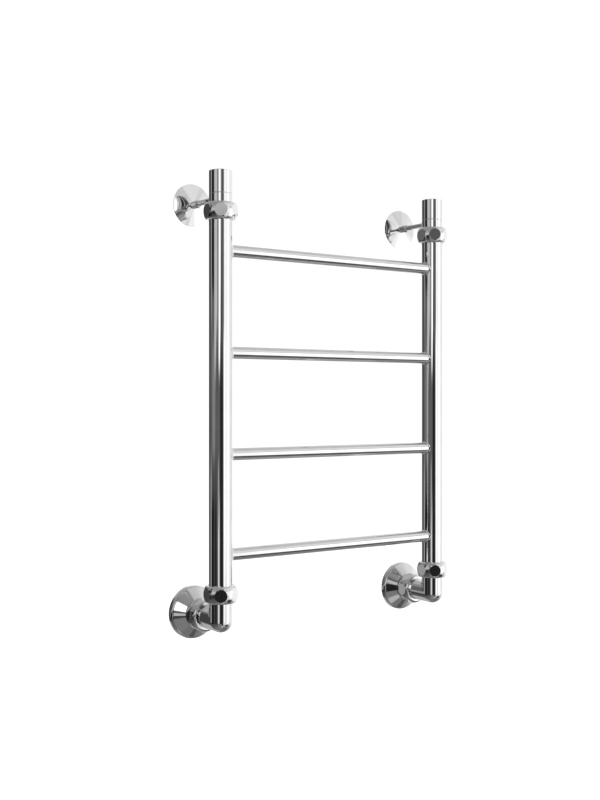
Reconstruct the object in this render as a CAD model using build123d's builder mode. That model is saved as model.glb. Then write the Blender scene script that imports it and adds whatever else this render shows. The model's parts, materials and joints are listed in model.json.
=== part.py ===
from build123d import *
import os
from math import sqrt

# A water-heated ladder towel radiator that hangs on a wall.
#
# Frame: +Z up, +Y into the wall, the wall's surface at Y = 0, and the origin midway between
# the two water outlets in the wall. The ladder hangs in the plane Y = RAIL_Y in front of it.
#
# Two upright collectors are joined by welded rungs. Each collector ends in a union nut at
# both ends. Below, the nut holds an elbow that turns to the wall, where a second union nut
# holds the wall union behind a rosette. Above, the nut holds a plug with a bleed valve under
# a pull-off cap, and a bracket rod runs from that plug to the wall.

# ---- Ladder ------------------------------------------------------------------------------
CENTRES = 400.0            # between the two collectors, and between the two water outlets
HEIGHT = 600.0             # from the water outlets up to the bracket rods
STAND_OFF = 82.5           # from the wall to the plane of the ladder
COLLECTOR_D = 34.0
COLLECTOR_WALL = 2.0
RUNG_D = 18.0
RUNG_WALL = 1.5
RUNG_NAMES = ("rung_bottom", "rung_lower_middle", "rung_upper_middle", "rung_top")
RUNG_TO_NUT = 41.8         # from the outermost rungs' axes to the nuts beside them
LOWEST_GAP_LESS = 2.2      # the lowest gap is this much shorter than the others
WELD_ROUND = 2.0           # radius of the polished weld round each rung's end

# ---- Union joint: nut, collar and flat gasket, the same at all six places ------------------
COLLAR_LIP = 1.5           # how far the collar stands out from the tube that it is welded to
COLLAR_T = 3.0
THREAD_OVER_COLLAR = 0.7   # radius of the thread over the collar, so that the nut passes it
NUT_WALL = 3.8             # from the thread to the nut's flats
NUT_CROWN = 1.75           # from the flats to the ball that rounds the nut's corners
NUT_HEIGHT = 25.0
NUT_SHOULDER = 5.0
NUT_ROUND = 4.0            # rounding of the nut's two end edges
WALL_NUT_TURN = 0.0        # where the nuts at the wall came to rest when they were tightened
GASKET_T = 2.0
GASKET_WIDTH = 4.0
TURNING_GAP = 0.1          # radial clearance between a thread or collar and its nut
TUBE_GAP = 0.3             # radial clearance between a tube and the nut's shoulder
FLANGE_ROUND = 0.8
THREAD_FIT = 0.05          # radial clearance of the small threads

# ---- Elbow and wall union -----------------------------------------------------------------
ELBOW_RISE = 25.5          # from the water outlets' axis up to the lower nut's open end
ELBOW_WALL = 3.0
OUTLET_THREAD_D = 20.96    # G1/2 pipe thread, drawn as its outer cylinder
OUTLET_THREAD_L = 15.0     # how far the thread reaches into the wall
OUTLET_BORE_D = 14.0
UNION_BODY_D = 30.0
THREAD_CHAMFER = 1.0
UNION_ROOF = 4.0           # metal left between the union's wide mouth and its body

# ---- Rosette: the conical cover round the water outlet -------------------------------------
ROSETTE_D = 78.0
ROSETTE_RIM = 5.0          # height of the straight rim on the wall
ROSETTE_STEP = 4.5         # height of the rounded band above the rim
ROSETTE_BAND = 3.0         # how far that band leans in
ROSETTE_DEPTH = 20.0
ROSETTE_NECK_D = 44.0      # where the cone ends
ROSETTE_SHEET = 1.5
ROSETTE_PLAY = 1.0         # between the rosette and the nut in front of it
ROSETTE_GAP = 0.4          # radial clearance on the union's body
ROSETTE_NECK_ROUND = 1.2

# ---- Vent plug with its bleed valve and cap --------------------------------------------------
BRACKET_RISE = 8.0         # from the upper nut's open end to the bracket rod's axis
PLUG_RING = 12.5           # height of the plug's visible ring, up to the seam under the cap
CAP_HEIGHT = 33.0
CAP_WALL = 1.5
CAP_TOP = 2.0
CAP_GAP = 0.1              # radial clearance between the cap and the plug's stem
CAP_ROUND = 1.0
SEAM_CHAMFER = 0.4
STEM_HEIGHT = 21.0
O_RING_D = 2.0             # thickness of the cap's O-ring
O_RING_PLACE = 12.0        # from the seam up to the O-ring
O_RING_GAP = 0.05
PLUG_ROOF = 3.0            # metal over the plug's air chamber
BLEED_D = 3.0
NEEDLE_D = 8.0
NEEDLE_REACH = 13.0        # from the stem's top down to the valve's seat
NEEDLE_SEAT = 2.5          # height of the seat's cone
NOZZLE_D = 20.0
NOZZLE_HEIGHT = 5.0
NOZZLE_OUTLET_D = 2.0
NEEDLE_HEAD_D = 11.0
NEEDLE_HEAD = 2.4
NEEDLE_SLOT = 1.2
NEEDLE_RING_D = 1.6        # thickness of the needle's own O-ring

# ---- Bracket ----------------------------------------------------------------------------------
ROD_D = 8.0
ROD_DEPTH = 9.0            # how far the rod is screwed into the plug
ROD_END_GAP = 0.1
ROD_CHAMFER = 0.8
SLEEVE_D = 11.5
SLEEVE_L = 21.0
SLEEVE_CHAMFER = 1.0
SLEEVE_GAP = 0.1
ROD_ENGAGED = 11.0         # how much of the rod stands in the sleeve
ROD_SPARE = 4.0            # free bore behind the rod, so that the bracket shortens by this much
BOLT_D = 5.0
BOLT_TIP = 5.0
PLUG_D = 8.0               # the expanding plug in the wall
PLUG_L = 34.0
PLUG_SLIT = 1.0
PLUG_SLIT_TURN = 45.0
PLUG_SLIT_START = 8.0
PLUG_SPARE = 3.0           # plug left beyond the bolt's tip
GRUB_D = 4.0
GRUB_PLACE = 4.0           # from the sleeve's front end back to the grub screw
GRUB_PROUD = 0.4
GRUB_SOCKET = 2.0
CONE_D = 63.4
CONE_RIM = 1.0
CONE_DEPTH = 6.0
CONE_SHEET = 1.2
CONE_GAP = 0.1
CONE_NECK = 1.0            # how far the cone's mouth stands out from the sleeve

# ---- Worked out from the values above ------------------------------------------------------
RAIL_Y = -STAND_OFF
COLLECTOR_R = COLLECTOR_D / 2
COLLECTOR_BORE_R = COLLECTOR_R - COLLECTOR_WALL
RUNG_R = RUNG_D / 2
COLLAR_R = COLLECTOR_R + COLLAR_LIP
THREAD_R = COLLAR_R + THREAD_OVER_COLLAR
NUT_FLAT_R = THREAD_R + NUT_WALL
NUT_BALL_R = NUT_FLAT_R + NUT_CROWN
COLLAR_START = NUT_SHOULDER
GASKET_START = COLLAR_START + COLLAR_T
FLANGE_START = GASKET_START + GASKET_T
FLANGE_L = NUT_HEIGHT - FLANGE_START
UPPER_NUT_OPEN_Z = HEIGHT - BRACKET_RISE
UPPER_SEAT_Z = UPPER_NUT_OPEN_Z - NUT_HEIGHT
LOWER_SEAT_Z = ELBOW_RISE + NUT_HEIGHT
WALL_NUT_OPEN_Y = -(ROSETTE_DEPTH + ROSETTE_PLAY)
WALL_SEAT_Y = WALL_NUT_OPEN_Y - NUT_HEIGHT
COLLECTOR_FROM_Z = LOWER_SEAT_Z - GASKET_START
COLLECTOR_TO_Z = UPPER_SEAT_Z + GASKET_START
STEM_R = COLLECTOR_R - CAP_WALL - CAP_GAP
SIDES = {"left": -CENTRES / 2, "right": CENTRES / 2}
PLAIN_EDGES = (GeomType.LINE, GeomType.CIRCLE)
FLAT_FIRST = 30.0          # turns a hexagon so that a flat, not a corner, faces its x


def rung_heights():
    """The rungs' heights: even gaps, apart from the lowest one."""
    lowest = LOWER_SEAT_Z + RUNG_TO_NUT
    highest = UPPER_SEAT_Z - RUNG_TO_NUT
    gaps = len(RUNG_NAMES) - 1
    gap = (highest - lowest + LOWEST_GAP_LESS) / gaps
    rises = [0.0] + [i * gap - LOWEST_GAP_LESS for i in range(1, gaps + 1)]
    return [lowest + rise for rise in rises]


def upper_seat(x):
    """Where an upper union joint starts: its axis runs up from the nut's shoulder."""
    return Plane(origin=(x, RAIL_Y, UPPER_SEAT_Z), x_dir=(1, 0, 0), z_dir=(0, 0, 1))


def lower_seat(x):
    """Where a lower union joint starts: its axis runs down from the nut's shoulder."""
    return Plane(origin=(x, RAIL_Y, LOWER_SEAT_Z), x_dir=(1, 0, 0), z_dir=(0, 0, -1))


def wall_seat(x):
    """Where a union joint at the wall starts: its axis runs to the wall from the shoulder."""
    return Plane(origin=(x, WALL_SEAT_Y, 0), x_dir=(1, 0, 0), z_dir=(0, 1, 0))


def bracket_foot(x):
    """Where a bracket meets the wall: its axis runs from the wall to the ladder."""
    return Plane(origin=(x, 0, HEIGHT), x_dir=(1, 0, 0), z_dir=(0, -1, 0))


def outlet_foot(x):
    """Where the water outlet meets the wall: its axis runs from the wall to the ladder."""
    return Plane(origin=(x, 0, 0), x_dir=(1, 0, 0), z_dir=(0, -1, 0))


def profile_plane(seat):
    """The plane of a turned profile: its x runs out from the seat's axis, its y along it."""
    return Plane(origin=seat.origin, x_dir=seat.x_dir, z_dir=-seat.y_dir)


def axis_of(seat):
    """The axis that a profile is turned about."""
    return Axis(seat.origin, seat.z_dir)


def write(piece, name):
    """Labels a finished piece and writes its STEP file."""
    piece.part.label = name
    export_step(piece.part, f"parts/{name}.step")


# ---- Ladder pieces -------------------------------------------------------------------------
def collector(name, x):
    """An upright tube, drilled on its inner side where the rungs enter."""
    with BuildPart() as tube:
        with BuildSketch(Plane(origin=(x, RAIL_Y, COLLECTOR_FROM_Z))):
            Circle(COLLECTOR_R)
            Circle(COLLECTOR_BORE_R, mode=Mode.SUBTRACT)
        extrude(amount=COLLECTOR_TO_Z - COLLECTOR_FROM_Z)
        inwards = (-1, 0, 0) if x > 0 else (1, 0, 0)
        for z in rung_heights():
            with BuildSketch(Plane(origin=(x, RAIL_Y, z), z_dir=inwards)):
                Circle(RUNG_R)
            extrude(amount=COLLECTOR_D, mode=Mode.SUBTRACT)
    write(tube, f"collector_{name}")


def rung(name, z):
    """A cross tube with a polished weld at each end, standing in the collectors' walls."""
    cross = Plane(origin=(-CENTRES / 2, RAIL_Y, z), z_dir=(1, 0, 0))
    uprights = [Plane(origin=(x, RAIL_Y, z - RUNG_D)) for x in SIDES.values()]
    with BuildPart() as tube:
        for foot in uprights:
            with BuildSketch(foot):
                Circle(COLLECTOR_R)
            extrude(amount=2 * RUNG_D)
        with BuildSketch(cross):
            Circle(RUNG_R)
        extrude(amount=CENTRES)
        # The only edges that are neither lines nor circles are where the rung meets the collectors.
        joints = [edge for edge in tube.edges() if edge.geom_type not in PLAIN_EDGES]
        fillet(joints, radius=WELD_ROUND)
        for foot in uprights:
            with BuildSketch(foot):
                Circle(COLLECTOR_R)
            extrude(amount=2 * RUNG_D, mode=Mode.SUBTRACT)
        with BuildSketch(cross):
            Circle(RUNG_R)
        extrude(amount=CENTRES)
        with BuildSketch(cross):
            Circle(RUNG_R - RUNG_WALL)
        extrude(amount=CENTRES, mode=Mode.SUBTRACT)
        for foot in uprights:
            with BuildSketch(foot):
                Circle(COLLECTOR_BORE_R)
            extrude(amount=2 * RUNG_D, mode=Mode.SUBTRACT)
    write(tube, name)


# ---- Union joint pieces --------------------------------------------------------------------
def union_nut(name, seat, turn):
    """A hexagon nut rounded by a ball, so that its flats are discs, with a shouldered bore."""
    end_r = sqrt(NUT_BALL_R**2 - (NUT_HEIGHT / 2) ** 2)
    with BuildPart() as nut:
        with BuildSketch(profile_plane(seat)) as side:
            with BuildLine():
                Polyline((end_r, 0), (0, 0), (0, NUT_HEIGHT), (end_r, NUT_HEIGHT))
                ThreePointArc((end_r, 0), (NUT_BALL_R, NUT_HEIGHT / 2), (end_r, NUT_HEIGHT))
            make_face()
            fillet([v for v in side.vertices() if v.X > end_r / 2], radius=NUT_ROUND)
        revolve(axis=axis_of(seat))
        with BuildSketch(seat):
            RegularPolygon(NUT_FLAT_R, 6, major_radius=False, rotation=turn + FLAT_FIRST)
        extrude(amount=NUT_HEIGHT, mode=Mode.INTERSECT)
        with BuildSketch(seat):
            Circle(COLLECTOR_R + TUBE_GAP)
        extrude(amount=NUT_SHOULDER, mode=Mode.SUBTRACT)
        with BuildSketch(seat.offset(NUT_SHOULDER)):
            Circle(THREAD_R + TURNING_GAP)
        extrude(amount=NUT_HEIGHT - NUT_SHOULDER, mode=Mode.SUBTRACT)
    write(nut, name)


def collar(name, seat):
    """The ring welded round a tube's end, which the nut's shoulder pulls on."""
    with BuildPart() as ring:
        with BuildSketch(seat.offset(COLLAR_START)):
            Circle(COLLAR_R)
            Circle(COLLECTOR_R, mode=Mode.SUBTRACT)
        extrude(amount=COLLAR_T)
    write(ring, name)


def gasket(name, seat):
    """The flat seal between a collar and the fitting that is screwed against it."""
    with BuildPart() as ring:
        with BuildSketch(seat.offset(GASKET_START)):
            Circle(COLLAR_R)
            Circle(COLLAR_R - GASKET_WIDTH, mode=Mode.SUBTRACT)
        extrude(amount=GASKET_T)
    write(ring, name)


# ---- Elbow, wall union and rosette -----------------------------------------------------------
def elbow(name, x):
    """The elbow between the ladder and the wall: two equal legs that meet in a ball."""
    corner_up = Plane(origin=(x, RAIL_Y, 0))
    corner_back = Plane(origin=(x, RAIL_Y, 0), x_dir=(1, 0, 0), z_dir=(0, 1, 0))
    branch = WALL_SEAT_Y + GASKET_START - RAIL_Y
    upright = ELBOW_RISE + FLANGE_L
    bore_r = COLLECTOR_R - ELBOW_WALL
    with BuildPart() as bend:
        with BuildSketch(corner_up):
            Circle(COLLECTOR_R)
        extrude(amount=upright)
        with BuildSketch(corner_up.offset(ELBOW_RISE)):
            Circle(THREAD_R)
        extrude(amount=FLANGE_L)
        flange_end = bend.edges().filter_by(GeomType.CIRCLE).group_by(Edge.length)[-1]
        fillet(flange_end.sort_by(Axis.Z)[0], radius=FLANGE_ROUND)
        with BuildSketch(corner_back):
            Circle(COLLECTOR_R)
        extrude(amount=branch)
        with Locations(corner_up):
            Sphere(COLLECTOR_R)
            Sphere(bore_r, mode=Mode.SUBTRACT)
        with BuildSketch(corner_up):
            Circle(bore_r)
        extrude(amount=upright, mode=Mode.SUBTRACT)
        with BuildSketch(corner_back):
            Circle(bore_r)
        extrude(amount=branch, mode=Mode.SUBTRACT)
    write(bend, name)


def wall_union(name, x):
    """The turned union that screws into the wall outlet and takes the wall nut's thread."""
    seat = wall_seat(x)
    wall = -WALL_SEAT_Y
    mouth_r = COLLECTOR_R - ELBOW_WALL
    outlet_r = OUTLET_THREAD_D / 2
    with BuildPart() as union:
        with BuildSketch(profile_plane(seat)):
            with BuildLine():
                Polyline(
                    (mouth_r, FLANGE_START),
                    (THREAD_R, FLANGE_START),
                    (THREAD_R, NUT_HEIGHT - FLANGE_ROUND),
                    (THREAD_R - FLANGE_ROUND, NUT_HEIGHT),
                    (UNION_BODY_D / 2, NUT_HEIGHT),
                    (UNION_BODY_D / 2, wall),
                    (outlet_r, wall),
                    (outlet_r, wall + OUTLET_THREAD_L - THREAD_CHAMFER),
                    (outlet_r - THREAD_CHAMFER, wall + OUTLET_THREAD_L),
                    (OUTLET_BORE_D / 2, wall + OUTLET_THREAD_L),
                    (OUTLET_BORE_D / 2, NUT_HEIGHT - UNION_ROOF),
                    (mouth_r, NUT_HEIGHT - UNION_ROOF),
                    close=True,
                )
            make_face()
        revolve(axis=axis_of(seat))
    write(union, name)


def rosette(name, x):
    """The pressed cone over the water outlet, with a rounded band at its rim."""
    seat = outlet_foot(x)
    rim_r = ROSETTE_D / 2
    band_r = rim_r - ROSETTE_BAND
    band_end = ROSETTE_RIM + ROSETTE_STEP
    neck_r = ROSETTE_NECK_D / 2
    hole_r = UNION_BODY_D / 2 + ROSETTE_GAP
    # The inner face runs one sheet's thickness inside the outer one, cone and neck alike.
    slant = sqrt((band_r - neck_r) ** 2 + (ROSETTE_DEPTH - band_end) ** 2)
    inset = ROSETTE_SHEET * slant / (ROSETTE_DEPTH - band_end)
    back = ROSETTE_DEPTH - ROSETTE_SHEET
    inner_neck_r = neck_r - inset + ROSETTE_SHEET * (band_r - neck_r) / (ROSETTE_DEPTH - band_end)
    with BuildPart() as cover:
        with BuildSketch(profile_plane(seat)):
            with BuildLine():
                Line((rim_r, 0), (rim_r, ROSETTE_RIM))
                ThreePointArc(
                    (rim_r, ROSETTE_RIM),
                    (rim_r - ROSETTE_BAND * 0.3, ROSETTE_RIM + ROSETTE_STEP * 0.7),
                    (band_r, band_end),
                )
                Polyline(
                    (band_r, band_end),
                    (neck_r, ROSETTE_DEPTH),
                    (hole_r, ROSETTE_DEPTH),
                    (hole_r, back),
                    (inner_neck_r, back),
                    (band_r - inset, band_end),
                    (rim_r - ROSETTE_SHEET, ROSETTE_RIM),
                    (rim_r - ROSETTE_SHEET, 0),
                    (rim_r, 0),
                )
            make_face()
        revolve(axis=axis_of(seat))
        neck = cover.edges().filter_by(GeomType.CIRCLE)
        neck = [e for e in neck if abs(e.radius - neck_r) < 0.01]
        fillet(neck, radius=ROSETTE_NECK_ROUND)
    write(cover, name)


# ---- Vent plug, bleed valve and cap ----------------------------------------------------------
STEM_START = NUT_HEIGHT + PLUG_RING
STEM_END = STEM_START + STEM_HEIGHT
SEAT_HEIGHT = STEM_END - NEEDLE_REACH
NOZZLE_END = STEM_END + NOZZLE_HEIGHT


def vent_plug(name, x):
    """The plug that closes a collector: thread, ring for the bracket rod, stem and valve seat."""
    seat = upper_seat(x)
    chamber_r = COLLECTOR_R - ELBOW_WALL
    needle_r = NEEDLE_D / 2 + THREAD_FIT
    with BuildPart() as plug:
        with BuildSketch(profile_plane(seat)):
            with BuildLine():
                Polyline(
                    (chamber_r, FLANGE_START),
                    (THREAD_R, FLANGE_START),
                    (THREAD_R, NUT_HEIGHT - FLANGE_ROUND),
                    (THREAD_R - FLANGE_ROUND, NUT_HEIGHT),
                    (COLLECTOR_R, NUT_HEIGHT),
                    (COLLECTOR_R, STEM_START - SEAM_CHAMFER),
                    (COLLECTOR_R - SEAM_CHAMFER, STEM_START),
                    (STEM_R, STEM_START),
                    (STEM_R, STEM_END),
                    (needle_r, STEM_END),
                    (needle_r, SEAT_HEIGHT + NEEDLE_SEAT),
                    (BLEED_D / 2, SEAT_HEIGHT),
                    (BLEED_D / 2, NUT_HEIGHT - PLUG_ROOF),
                    (chamber_r, NUT_HEIGHT - PLUG_ROOF),
                    close=True,
                )
            make_face()
        revolve(axis=axis_of(seat))
        with BuildSketch(seat.offset(STEM_START + O_RING_PLACE - O_RING_D / 2 - O_RING_GAP)):
            Circle(STEM_R + O_RING_D)
            Circle(STEM_R + CAP_GAP - O_RING_D - O_RING_GAP, mode=Mode.SUBTRACT)
        extrude(amount=O_RING_D + 2 * O_RING_GAP, mode=Mode.SUBTRACT)
        rod_bottom = Plane(
            origin=(x, RAIL_Y + COLLECTOR_R - ROD_DEPTH, HEIGHT), z_dir=(0, 1, 0)
        )
        with BuildSketch(rod_bottom):
            Circle(ROD_D / 2 + THREAD_FIT)
        extrude(amount=2 * ROD_DEPTH, mode=Mode.SUBTRACT)
    write(plug, name)


def cap_o_ring(name, x):
    """The O-ring in the stem's groove, which grips the cap."""
    ring_r = STEM_R + CAP_GAP - O_RING_GAP - O_RING_D / 2
    with BuildPart() as ring:
        with BuildSketch(profile_plane(upper_seat(x))):
            with Locations((ring_r, STEM_START + O_RING_PLACE)):
                Circle(O_RING_D / 2)
        revolve(axis=axis_of(upper_seat(x)))
    write(ring, name)


def vent_cap(name, x):
    """The pull-off cap over the bleed valve, as wide as the collector."""
    seat = upper_seat(x)
    inner_r = COLLECTOR_R - CAP_WALL
    top = STEM_START + CAP_HEIGHT
    with BuildPart() as cap:
        with BuildSketch(profile_plane(seat)):
            with BuildLine():
                Polyline(
                    (inner_r, STEM_START),
                    (COLLECTOR_R - SEAM_CHAMFER, STEM_START),
                    (COLLECTOR_R, STEM_START + SEAM_CHAMFER),
                    (COLLECTOR_R, top),
                    (0, top),
                    (0, top - CAP_TOP),
                    (inner_r, top - CAP_TOP),
                    close=True,
                )
            make_face()
        revolve(axis=axis_of(seat))
        rim = cap.edges().filter_by(GeomType.CIRCLE).group_by(Axis.Z)[-1]
        fillet(rim, radius=CAP_ROUND)
    write(cap, name)


def bleed_needle(name, x):
    """The bleed valve's screw: a cone that closes the seat, a threaded shank and a slotted head."""
    seat = upper_seat(x)
    shank_r = NEEDLE_D / 2
    groove_r = shank_r - NEEDLE_RING_D / 2
    groove = STEM_END + NEEDLE_RING_D
    head_end = NOZZLE_END + NEEDLE_HEAD
    with BuildPart() as needle:
        with BuildSketch(profile_plane(seat)):
            with BuildLine():
                Polyline(
                    (0, SEAT_HEIGHT + 2 * THREAD_FIT),
                    (BLEED_D / 2, SEAT_HEIGHT + 2 * THREAD_FIT),
                    (shank_r, SEAT_HEIGHT + NEEDLE_SEAT + 2 * THREAD_FIT),
                    (shank_r, groove - NEEDLE_RING_D / 2),
                    (groove_r, groove - NEEDLE_RING_D / 2),
                    (groove_r, groove + NEEDLE_RING_D / 2),
                    (shank_r, groove + NEEDLE_RING_D / 2),
                    (shank_r, NOZZLE_END + THREAD_FIT),
                    (NEEDLE_HEAD_D / 2, NOZZLE_END + THREAD_FIT),
                    (NEEDLE_HEAD_D / 2, head_end),
                    (0, head_end),
                    close=True,
                )
            make_face()
        revolve(axis=axis_of(seat))
        with BuildSketch(seat.offset(head_end - NEEDLE_HEAD / 2)):
            Rectangle(NEEDLE_HEAD_D * 1.2, NEEDLE_SLOT)
        extrude(amount=NEEDLE_HEAD, mode=Mode.SUBTRACT)
    write(needle, name)


def needle_ring(name, x):
    """The O-ring round the needle, inside the nozzle."""
    middle = (NEEDLE_D / 2, STEM_END + NEEDLE_RING_D)
    with BuildPart() as ring:
        with BuildSketch(profile_plane(upper_seat(x))):
            with Locations(middle):
                Circle(NEEDLE_RING_D / 2 - THREAD_FIT)
        revolve(axis=axis_of(upper_seat(x)))
    write(ring, name)


def bleed_nozzle(name, x):
    """The loose plastic ring that aims the bled air or water through one side hole."""
    seat = upper_seat(x)
    bore_r = NEEDLE_D / 2 + NEEDLE_RING_D / 2
    foot = STEM_END + THREAD_FIT
    with BuildPart() as nozzle:
        with BuildSketch(seat.offset(foot)):
            Circle(NOZZLE_D / 2)
            Circle(bore_r, mode=Mode.SUBTRACT)
        extrude(amount=NOZZLE_HEIGHT - THREAD_FIT)
        lip = nozzle.edges().filter_by(GeomType.CIRCLE).group_by(Axis.Z)[-1].sort_by(Edge.length)
        chamfer(lip[-1], length=ROD_CHAMFER)
        middle = Plane(origin=seat.offset(foot + NOZZLE_HEIGHT / 2).origin, z_dir=(0, -1, 0))
        with BuildSketch(middle):
            Circle(NOZZLE_OUTLET_D / 2)
        extrude(amount=NOZZLE_D, mode=Mode.SUBTRACT)
    write(nozzle, name)


# ---- Bracket -------------------------------------------------------------------------------
def bracket_rod(name, x):
    """The rod from the vent plug to the sleeve on the wall."""
    length = STAND_OFF - COLLECTOR_R + ROD_DEPTH - ROD_END_GAP - SLEEVE_L + ROD_ENGAGED
    with BuildPart() as rod:
        with BuildSketch(bracket_foot(x).offset(SLEEVE_L - ROD_ENGAGED)):
            Circle(ROD_D / 2)
        extrude(amount=length)
        chamfer(rod.edges().filter_by(GeomType.CIRCLE), length=ROD_CHAMFER)
    write(rod, name)


def bracket_sleeve(name, x):
    """The sleeve that takes the rod in front and the wall bolt behind."""
    foot = bracket_foot(x)
    bore_start = SLEEVE_L - ROD_ENGAGED - ROD_SPARE
    with BuildPart() as sleeve:
        with BuildSketch(foot):
            Circle(SLEEVE_D / 2)
        extrude(amount=SLEEVE_L)
        front = sleeve.edges().filter_by(GeomType.CIRCLE).sort_by(Axis.Y)[0]
        chamfer(front, length=SLEEVE_CHAMFER)
        with BuildSketch(foot.offset(bore_start)):
            Circle(ROD_D / 2 + SLEEVE_GAP)
        extrude(amount=SLEEVE_L, mode=Mode.SUBTRACT)
        with BuildSketch(foot):
            Circle(BOLT_D / 2 + THREAD_FIT)
        extrude(amount=bore_start, mode=Mode.SUBTRACT)
        with BuildSketch(grub_plane(x)):
            Circle(GRUB_D / 2 + THREAD_FIT)
        extrude(amount=SLEEVE_D, mode=Mode.SUBTRACT)
    write(sleeve, name)


def grub_plane(x):
    """The plane on the rod's axis from which the grub screw points down."""
    return Plane(origin=(x, -SLEEVE_L + GRUB_PLACE, HEIGHT), x_dir=(1, 0, 0), z_dir=(0, 0, -1))


def grub_screw(name, x):
    """The socket screw that locks the rod in the sleeve."""
    tip = ROD_D / 2 + THREAD_FIT
    length = SLEEVE_D / 2 + GRUB_PROUD - tip
    with BuildPart() as screw:
        with BuildSketch(grub_plane(x).offset(tip)):
            Circle(GRUB_D / 2)
        extrude(amount=length)
        with BuildSketch(grub_plane(x).offset(tip + length / 2)):
            RegularPolygon(radius=GRUB_SOCKET / 2, side_count=6, major_radius=False)
        extrude(amount=length, mode=Mode.SUBTRACT)
    write(screw, name)


def hanger_bolt(name, x):
    """The double-ended screw that joins the sleeve to the plug in the wall."""
    foot = bracket_foot(x)
    front = SLEEVE_L - ROD_ENGAGED - ROD_SPARE
    tip = -(PLUG_L - PLUG_SPARE)
    with BuildPart() as bolt:
        with BuildSketch(profile_plane(foot)):
            with BuildLine():
                Polyline(
                    (0, front),
                    (BOLT_D / 2 - ROD_CHAMFER, front),
                    (BOLT_D / 2, front - ROD_CHAMFER),
                    (BOLT_D / 2, tip + BOLT_TIP),
                    (0, tip),
                    close=True,
                )
            make_face()
        revolve(axis=axis_of(foot))
    write(bolt, name)


def wall_plug(name, x):
    """The expanding plug in the wall, slit from its tip."""
    into_wall = Plane(origin=(x, 0, HEIGHT), x_dir=(1, 0, 0), z_dir=(0, 1, 0))
    bore_l = PLUG_L - PLUG_SPARE + THREAD_FIT
    with BuildPart() as plug:
        with BuildSketch(into_wall):
            Circle(PLUG_D / 2)
        extrude(amount=PLUG_L)
        with BuildSketch(into_wall):
            Circle(BOLT_D / 2 + THREAD_FIT)
        extrude(amount=bore_l, mode=Mode.SUBTRACT)
        with BuildSketch(into_wall.offset(PLUG_SLIT_START)):
            Rectangle(2 * PLUG_D, PLUG_SLIT, rotation=PLUG_SLIT_TURN)
        extrude(amount=PLUG_L - 2 * PLUG_SLIT_START, mode=Mode.SUBTRACT)
    write(plug, name)


def bracket_cone(name, x):
    """The shallow cone that covers the bracket's foot and slides on the sleeve."""
    foot = bracket_foot(x)
    hole_r = SLEEVE_D / 2 + CONE_GAP
    mouth_r = hole_r + CONE_NECK
    rim_r = CONE_D / 2
    slope = (rim_r - mouth_r) / (CONE_DEPTH - CONE_RIM)
    with BuildPart() as cone:
        with BuildSketch(profile_plane(foot)):
            with BuildLine():
                Polyline(
                    (rim_r, 0),
                    (rim_r, CONE_RIM),
                    (mouth_r, CONE_DEPTH),
                    (hole_r, CONE_DEPTH),
                    (hole_r, CONE_DEPTH - CONE_SHEET - CONE_NECK / slope),
                    (rim_r - CONE_SHEET * slope, 0),
                    close=True,
                )
            make_face()
        revolve(axis=axis_of(foot))
    write(cone, name)


def main():
    os.makedirs("parts", exist_ok=True)
    for name, z in zip(RUNG_NAMES, rung_heights()):
        rung(name, z)
    for side, x in SIDES.items():
        collector(side, x)
        for place, seat, turn in (
            ("top", upper_seat(x), 0),
            ("bottom", lower_seat(x), 0),
            ("wall", wall_seat(x), WALL_NUT_TURN),
        ):
            union_nut(f"nut_{place}_{side}", seat, turn)
            collar(f"collar_{place}_{side}", seat)
            gasket(f"gasket_{place}_{side}", seat)
        elbow(f"elbow_{side}", x)
        wall_union(f"wall_union_{side}", x)
        rosette(f"rosette_{side}", x)
        vent_plug(f"vent_plug_{side}", x)
        cap_o_ring(f"cap_o_ring_{side}", x)
        vent_cap(f"vent_cap_{side}", x)
        bleed_needle(f"bleed_needle_{side}", x)
        needle_ring(f"needle_ring_{side}", x)
        bleed_nozzle(f"bleed_nozzle_{side}", x)
        bracket_rod(f"bracket_rod_{side}", x)
        bracket_sleeve(f"bracket_sleeve_{side}", x)
        grub_screw(f"grub_screw_{side}", x)
        hanger_bolt(f"hanger_bolt_{side}", x)
        wall_plug(f"wall_plug_{side}", x)
        bracket_cone(f"bracket_cone_{side}", x)


main()
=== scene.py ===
"""A ladder towel radiator in polished chrome, dressed for a studio picture.

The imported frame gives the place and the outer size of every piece. Each class below is one
sub-assembly: it builds its pieces from turned or bent outlines and dresses them in its finishes.
"""

import json
import logging
import math
from dataclasses import dataclass
from enum import Enum

import bmesh
import bpy
from mathutils import Matrix, Vector


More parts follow.
